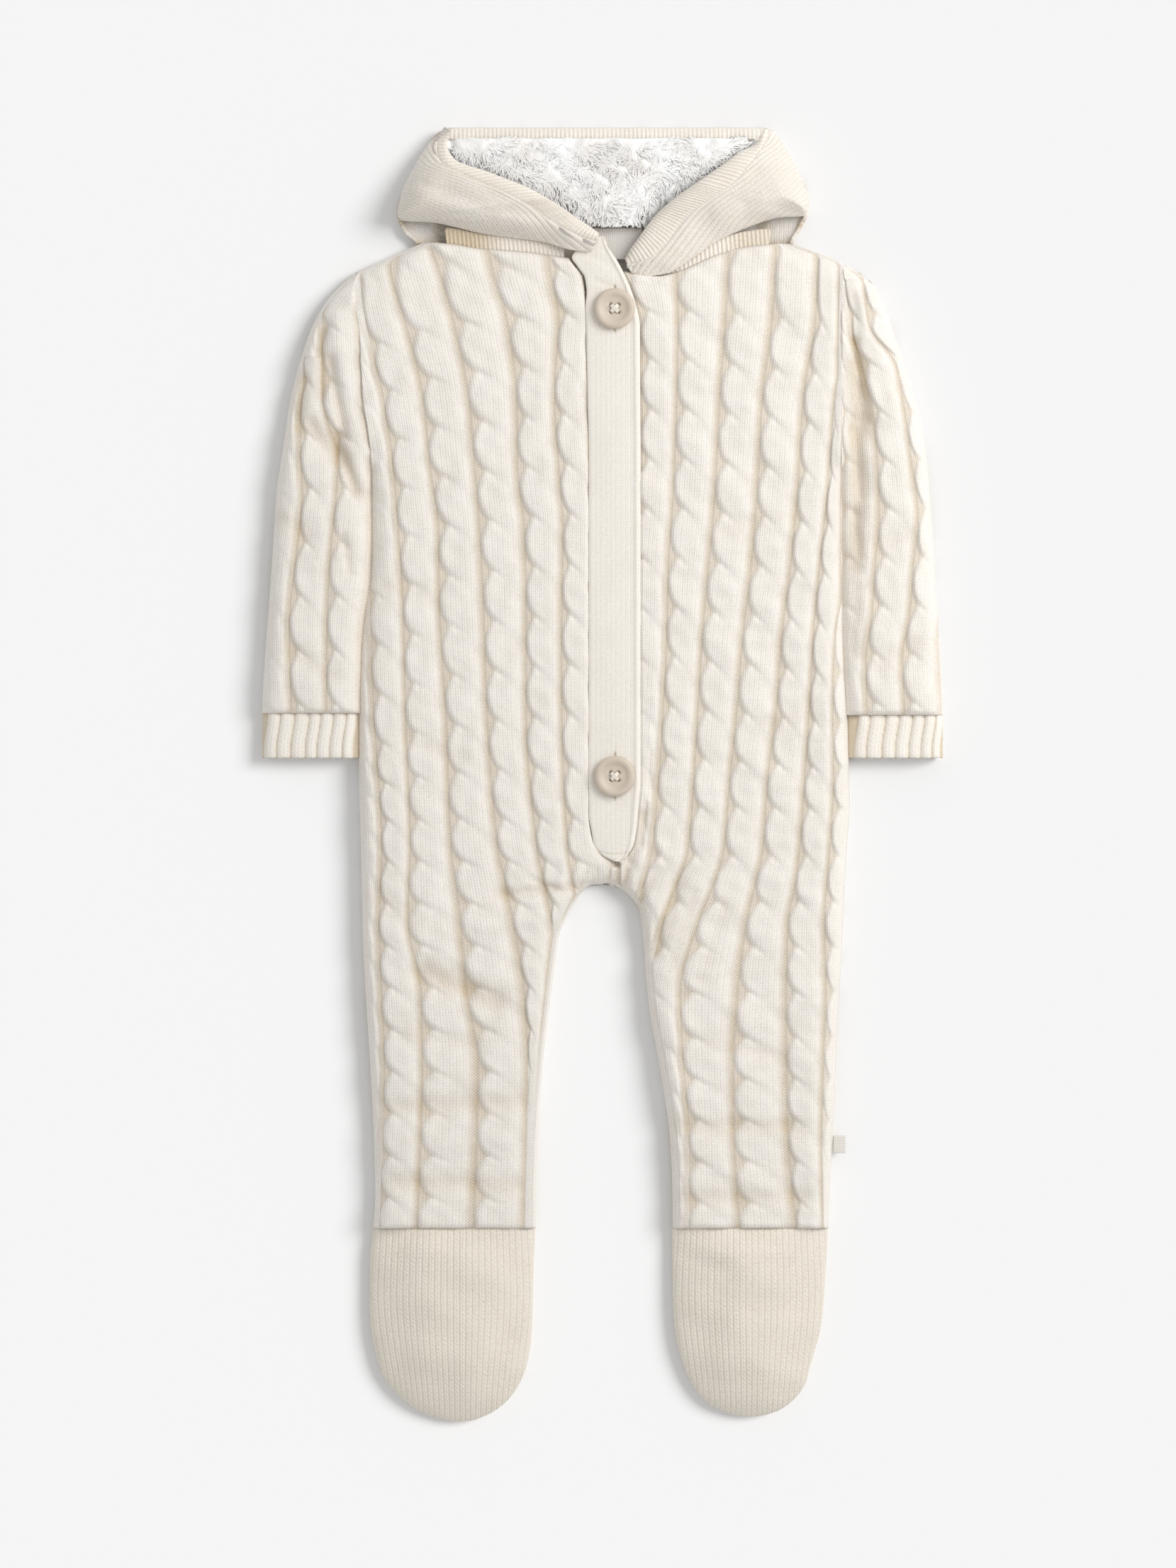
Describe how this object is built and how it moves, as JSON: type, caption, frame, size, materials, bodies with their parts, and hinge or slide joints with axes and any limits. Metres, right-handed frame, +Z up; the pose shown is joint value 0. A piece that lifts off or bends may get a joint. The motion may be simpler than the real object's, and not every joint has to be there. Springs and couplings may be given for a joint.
{
  "type": "knitted pramsuit",
  "caption": "Baby's cable-knit pramsuit with closed feet, rib cuffs, a buttoned rib placket and a fleece-lined hood, laid flat on its back.",
  "frame": {"origin": "centre of the bounding box on the surface that the garment lies on", "axes": "+X to the wearer's left, +Y towards the hood, +Z up from the surface, out of the garment's front"},
  "size_m": [0.3364, 0.6409, 0.0225],
  "materials": {
    "cable_knit": "matt cotton knit, cream, rope cables",
    "rib_knit": "matt cotton rib knit, cream",
    "foot_knit": "matt plain knit, cream",
    "fleece": "long curly pile, off-white",
    "cotton_tape": "plain woven tape, white",
    "button_resin": "satin, beige"
  },
  "bodies": {
    "root": {"front_right": "cable_knit", "front_left": "cable_knit", "back_right": "cable_knit", "back_left": "cable_knit", "sleeve_right": "cable_knit", "sleeve_left": "cable_knit", "cuff_right": "rib_knit", "cuff_left": "rib_knit", "foot_right": "foot_knit", "foot_left": "foot_knit", "hood_back": "cable_knit", "hood_side_right": "cable_knit", "hood_side_left": "cable_knit", "hood_rib_right": "rib_knit", "hood_rib_left": "rib_knit", "hood_rib_top": "rib_knit", "hood_lining": "fleece", "neck_rib_right": "rib_knit", "neck_rib_left": "rib_knit", "neck_tape": "cotton_tape", "placket": "rib_knit", "button_top": "button_resin", "button_bottom": "button_resin", "side_label": "cotton_tape"}
  },
  "joints": []
}
